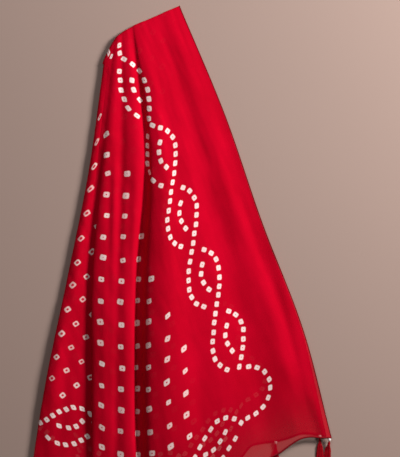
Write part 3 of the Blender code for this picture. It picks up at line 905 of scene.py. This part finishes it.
@functools.cache
def cloth_lay():
    """The cloth's grid of points, worked out once."""
    settings = bpy.context.scene.dupatta_cloth
    lay = Lay(settings.cell)
    ripple_rows(lay, settings.ripple / MM)
    return lay


def ripple_rows(lay, height):
    """Small uneven ripples, longer down the cloth than across it."""
    for row, down in enumerate(lay.down):
        for column, out in enumerate(lay.out[row]):
            if lay.points[row, column, 2] > FLOOR_LEVEL + RIPPLE_CLEAR:
                lift = sum(share * noise.noise((out / wide, down / long, number))
                           for wide, long, number, share in RIPPLES)
                lay.points[row, column, 2] += height * lift


class DUPATTA_OT_cloth(bpy.types.Operator):
    """Lays the cloth in its folds and marks its tied dots"""
    bl_idname = "dupatta.cloth"
    bl_label = "Cloth"

    def execute(self, context):
        settings = context.scene.dupatta_cloth
        lay = cloth_lay()
        rows, columns = lay.out.shape
        mesh = grid_mesh("dupatta_cloth", columns - 1, rows - 1, 1)
        mesh.vertices.foreach_set("co", (lay.points.reshape(-1, 3) * MM).ravel())
        while mesh.uv_layers:
            mesh.uv_layers.remove(mesh.uv_layers[0])
        paint_dots(mesh, lay, context.scene.dupatta_dots)
        mesh.update()
        if mesh.polygons[len(mesh.polygons) // 4].normal.z < 0:
            mesh.flip_normals()
        mesh.shade_smooth()
        cloth = link(bpy.data.objects.new("dupatta_cloth", mesh), cloth_material(settings))
        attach(cloth, "root")
        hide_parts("cloth")
        return {"FINISHED"}


class DUPATTA_OT_hems(bpy.types.Operator):
    """Rolls the hems, cords the selvages and sews the hem stitches"""
    bl_idname = "dupatta.hems"
    bl_label = "Hems and stitches"

    def execute(self, context):
        trim = context.scene.dupatta_trim
        cloth = context.scene.dupatta_cloth
        lay = cloth_lay()
        points = lay.points * MM
        finish = thread_material("rolled edge", cloth.red)
        sweep = thread_tree()
        ends = points[[0, -1]]
        ends[..., 2] = np.maximum(ends[..., 2], trim.hem_radius)
        hems = grown_mesh(polyline_object("rolled_hems", ends), sweep, finish,
                          {"Radius": trim.hem_radius, "Sides": 6})
        selvages = grown_mesh(polyline_object("selvage_cords", [points[:, 0], points[:, -1]]), sweep,
                              finish, {"Radius": trim.selvage_radius, "Sides": 5})
        lines = []
        lift = np.array((0, 0, trim.stitch_radius))
        for row, inner in ((0, 1), (-1, -2)):
            inward = points[inner] - points[row]
            inward /= np.linalg.norm(inward, axis=1)[:, None]
            lines.append(points[row] + inward * trim.hem_inset + lift)
        sewing = thread_material("sewing thread", cloth.red)
        stitches = grown_mesh(polyline_object("hem_stitches", lines), stitch_tree(), sewing,
                              {"Pitch": trim.stitch_pitch, "Length": trim.stitch_length,
                               "Radius": trim.stitch_radius})
        for piece in (hems, selvages, stitches):
            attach(piece, "root")
        return {"FINISHED"}


# How a tassel's bunch of threads swells, by distance from its crown. Here a length is in millimetres.
BUNCH = (
    # distance, half_width, half_depth, level as a share of the crown's
    (0.0, 0.9, 0.9, 1.0),
    (2.0, 2.6, 2.2, 0.92),
    (5.0, 3.1, 2.5, 0.80),
    (8.0, 2.3, 2.0, 0.66),
    (9.5, 2.3, 1.9, 0.60),
    (14.0, 5.4, 2.6, 0.45),
    (24.0, 7.2, 2.2, 0.0),
    (38.0, 8.3, 2.0, 0.0),
    (58.0, 9.0, 1.9, 0.0),
)
BUNCH_CLEAR = 0.2             # the bunch lies this far above the floor,
THREAD_REST = 2.1             # its middle no lower than this,
THREAD_CLEAR = 0.4            # and each thread no lower than this
CROWN_OUT = 3.9               # from the bead's middle to the crown
TIP_CORNERS = 40              # corners of the solid tassel that are taken for its tip
THREAD_LENGTHS = (50, 58)
THREAD_CURLS = (0.1, 0.75)    # how far a thread sways sideways,
THREAD_WAVES = (14, 30)       # over which length,
LOOSE_FROM, LOOSE_RUN = 10, 25  # and where it starts to and how soon it does so fully
SWAY_LIFT = 0.4               # a thread rises by this share of its sway
THREAD_POINTS = 12
THREAD_EASE = 1.15            # the points are closer near the crown
THREAD_CORE = 0.02
FULL_PHASE = 6.3
NECK_START = 7.4
NECK_END = 10.0
NECK_TURNS = 6
NECK_TURN_POINTS = 10
NECK_SWELL = 0.35             # how far the binding stands out from the bunch
HANG = {"front": 1.1, "back": -2.4}  # how far above the bead's middle its loop meets the hem
LOOP = ((-5.2, 1), (-3.2, 0), (0.0, 0), (5.5, 0))  # distance past the bead's middle, share of the hang


def bunch_at(distance, crown_level):
    """Half-width, half-depth and level of a tassel's bunch at a distance from its crown."""
    distances, *columns = np.transpose(BUNCH)
    width, depth, share = (np.interp(distance, distances, column) for column in columns)
    return width, depth, max(THREAD_REST, crown_level * share, depth + BUNCH_CLEAR)


def tassel_axis(side, number):
    """A bead's middle and the level direction in which its tassel lies, from the CAD nodes."""
    low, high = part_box(f"{side}_bead_{number}")
    middle = (Vector(low) + Vector(high)) / 2 / MM
    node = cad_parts[f"{side}_tassel_{number}"]
    corners = [node.matrix_world @ vertex.co / MM for vertex in node.data.vertices]
    far = sorted(corners, key=lambda corner: -(corner - middle).length)[:TIP_CORNERS]
    direction = sum(far, Vector()) / len(far) - middle
    direction.z = 0
    return middle, direction.normalized()


def tassel_lines(side, number, threads):
    """The threads of one tassel, its neck binding and its hanging loop, as lines in metres, and its axis."""
    middle, direction = tassel_axis(side, number)
    square = Vector((-direction.y, direction.x, 0))
    chance = random.Random(f"{side}{number}")
    start = middle + direction * CROWN_OUT
    lines = []
    for _ in range(threads):
        angle, reach = chance.uniform(0, 2 * math.pi), math.sqrt(chance.uniform(THREAD_CORE, 1))
        across, up = reach * math.cos(angle), reach * math.sin(angle)
        length = chance.uniform(*THREAD_LENGTHS)
        curl, phase = chance.uniform(*THREAD_CURLS), chance.uniform(0, FULL_PHASE)
        wave = chance.uniform(*THREAD_WAVES)
        line = []
        for step in range(THREAD_POINTS):
            distance = length * (step / (THREAD_POINTS - 1)) ** THREAD_EASE
            width, depth, level = bunch_at(distance, middle.z)
            loose = curl * min(1.0, max(0.0, (distance - LOOSE_FROM) / LOOSE_RUN))
            sway = loose * math.sin(distance / wave * 2 * math.pi + phase)
            point = start + direction * distance + square * (across * width + sway)
            point.z = max(THREAD_CLEAR, level + up * depth + SWAY_LIFT * sway)
            line.append(point * MM)
        lines.append(line)
    binding = []
    steps = NECK_TURNS * NECK_TURN_POINTS
    for step in range(steps):
        share = step / (steps - 1)
        distance = NECK_START + (NECK_END - NECK_START) * share
        width, depth, level = bunch_at(distance, middle.z)
        angle = 2 * math.pi * NECK_TURNS * share
        point = start + direction * distance + square * (width + NECK_SWELL) * math.cos(angle)
        point.z = level + (depth + NECK_SWELL) * math.sin(angle)
        binding.append(point * MM)
    hang = Vector((0, 0, HANG[side]))
    loop = [(middle + direction * reach + hang * share) * MM for reach, share in LOOP]
    return lines + [binding, loop], middle, direction


class DUPATTA_OT_tassels(bpy.types.Operator):
    """Makes the threads, neck bindings, beads and hanging loops of the tassels"""
    bl_idname = "dupatta.tassels"
    bl_label = "Tassels and beads"

    def execute(self, context):
        settings = context.scene.dupatta_tassels
        finish = thread_material("tassel thread", settings.red)
        sweep = thread_tree()
        beads = bmesh.new()
        for side in HANG:
            lines = []
            names = sorted(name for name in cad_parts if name.startswith(f"{side}_tassel_"))
            for number in range(1, len(names) + 1):
                tassel, middle, direction = tassel_lines(side, number, settings.threads)
                lines += tassel
                add_bead(beads, middle, direction)
            tassels = grown_mesh(polyline_object(f"{side}_tassels", lines), sweep, finish,
                                 {"Radius": settings.thread_radius, "Sides": 3})
            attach(tassels, "root")
            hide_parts(*names)
        mesh = filled_mesh("tassel_beads", beads)
        mesh.shade_smooth()
        piece = link(bpy.data.objects.new("tassel_beads", mesh), bead_material(settings))
        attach(piece, "root")
        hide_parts(*[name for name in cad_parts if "_bead_" in name])
        return {"FINISHED"}


BEAD_RADIUS = 3.5
BEAD_HALF_LENGTH = 3.1
BEAD_HOLE = 0.55
BEAD_SIDES = 20
BEAD_RING_SIDES = 12


def bead_mesh():
    """A round bead with a hole along +Z, turned from a ring's section, in millimetres."""
    bm = bmesh.new()
    ring = (BEAD_RADIUS - BEAD_HOLE) / 2
    section = []
    for step in range(BEAD_RING_SIDES):
        angle = 2 * math.pi * step / BEAD_RING_SIDES
        out = BEAD_HOLE + ring + ring * math.cos(angle)
        section.append(bm.verts.new((out, 0, BEAD_HALF_LENGTH * math.sin(angle))))
    edges = [bm.edges.new((section[step], section[step - 1])) for step in range(BEAD_RING_SIDES)]
    bmesh.ops.spin(bm, geom=section + edges, axis=(0, 0, 1), cent=(0, 0, 0), steps=BEAD_SIDES,
                   angle=2 * math.pi, use_merge=True)
    bmesh.ops.recalc_face_normals(bm, faces=bm.faces)
    return filled_mesh("bead", bm)


def add_bead(bm, middle, direction):
    """Adds a bead whose hole points along a direction."""
    turn = Vector((0, 0, 1)).rotation_difference(direction).to_matrix().to_4x4()
    bead = bead_mesh()
    bead.transform(Matrix.Translation(middle * MM) @ turn @ Matrix.Scale(MM, 4))
    bm.from_mesh(bead)
    bpy.data.meshes.remove(bead)


FLOOR_HALF_SIZE = 6
CAMERA_REACH = 30             # how far the camera sees
AIR = (1, 0.98, 0.96, 1)
AIR_STRENGTH = 0.05
LIGHTS = {
    # name: place, size, colour
    "key": ((2.1, 1.35, 1.4), 0.8, (1.0, 0.985, 0.965)),
    "fill": ((-0.6, 1.5, 2.4), 1.4, (0.97, 0.98, 1.0)),
}


class DUPATTA_OT_stage(bpy.types.Operator):
    """Sets the floor, the lights and the camera"""
    bl_idname = "dupatta.stage"
    bl_label = "Stage"

    def execute(self, context):
        settings = context.scene.dupatta_stage
        mesh = grid_mesh("floor", 1, 1, FLOOR_HALF_SIZE)
        link(bpy.data.objects.new("floor", mesh), floor_material(settings))
        add_area_light("key", settings.key_power)
        add_area_light("fill", settings.fill_power)
        world = bpy.data.worlds.new("studio")
        context.scene.world = world
        world.use_nodes = True
        world.node_tree.nodes["Background"].inputs["Color"].default_value = AIR
        world.node_tree.nodes["Background"].inputs["Strength"].default_value = AIR_STRENGTH
        data = bpy.data.cameras.new("camera")
        data.sensor_fit = "HORIZONTAL"
        data.lens = data.sensor_width * settings.camera_height / settings.view_width
        data.clip_end = CAMERA_REACH
        camera = link(bpy.data.objects.new("camera", data))
        camera.location = (0, 0, settings.camera_height)
        context.scene.camera = camera
        context.scene.view_settings.view_transform = "Standard"
        return {"FINISHED"}


def add_area_light(name, power):
    """A square soft light that faces the origin."""
    place, size, colour = LIGHTS[name]
    data = bpy.data.lights.new(name, "AREA")
    data.size, data.energy, data.color = size, power, colour
    light = link(bpy.data.objects.new(name, data))
    light.location = place
    light.rotation_euler = (-Vector(place)).to_track_quat("-Z", "Y").to_euler()


OPERATORS = (DUPATTA_OT_stage, DUPATTA_OT_cloth, DUPATTA_OT_hems, DUPATTA_OT_tassels)


class DUPATTA_PT_panel(bpy.types.Panel):
    """Lists the dupatta's settings and the steps that make it"""
    bl_idname = "DUPATTA_PT_panel"
    bl_label = "Bandhani dupatta"
    bl_space_type = "VIEW_3D"
    bl_region_type = "UI"
    bl_category = "Dupatta"

    def draw(self, context):
        for name in SETTINGS:
            group = getattr(context.scene, name)
            for key in group.__annotations__:
                self.layout.prop(group, key)
        for operator in OPERATORS:
            self.layout.operator(operator.bl_idname)


SETTINGS = {
    "dupatta_cloth": ClothSettings,
    "dupatta_dots": DotSettings,
    "dupatta_trim": TrimSettings,
    "dupatta_tassels": TasselSettings,
    "dupatta_stage": StageSettings,
}


def register():
    """Adds the settings, the operators and the panel."""
    for kind in (*SETTINGS.values(), *OPERATORS, DUPATTA_PT_panel):
        bpy.utils.register_class(kind)
    for name, kind in SETTINGS.items():
        setattr(bpy.types.Scene, name, PointerProperty(type=kind))


def unregister():
    """Takes them away again."""
    for name in SETTINGS:
        delattr(bpy.types.Scene, name)
    for kind in reversed((*SETTINGS.values(), *OPERATORS, DUPATTA_PT_panel)):
        bpy.utils.unregister_class(kind)


def main():
    """Makes every piece and the stage."""
    register()
    bpy.ops.dupatta.stage()
    bpy.ops.dupatta.cloth()
    bpy.ops.dupatta.hems()
    bpy.ops.dupatta.tassels()


if __name__ == "__main__":
    main()
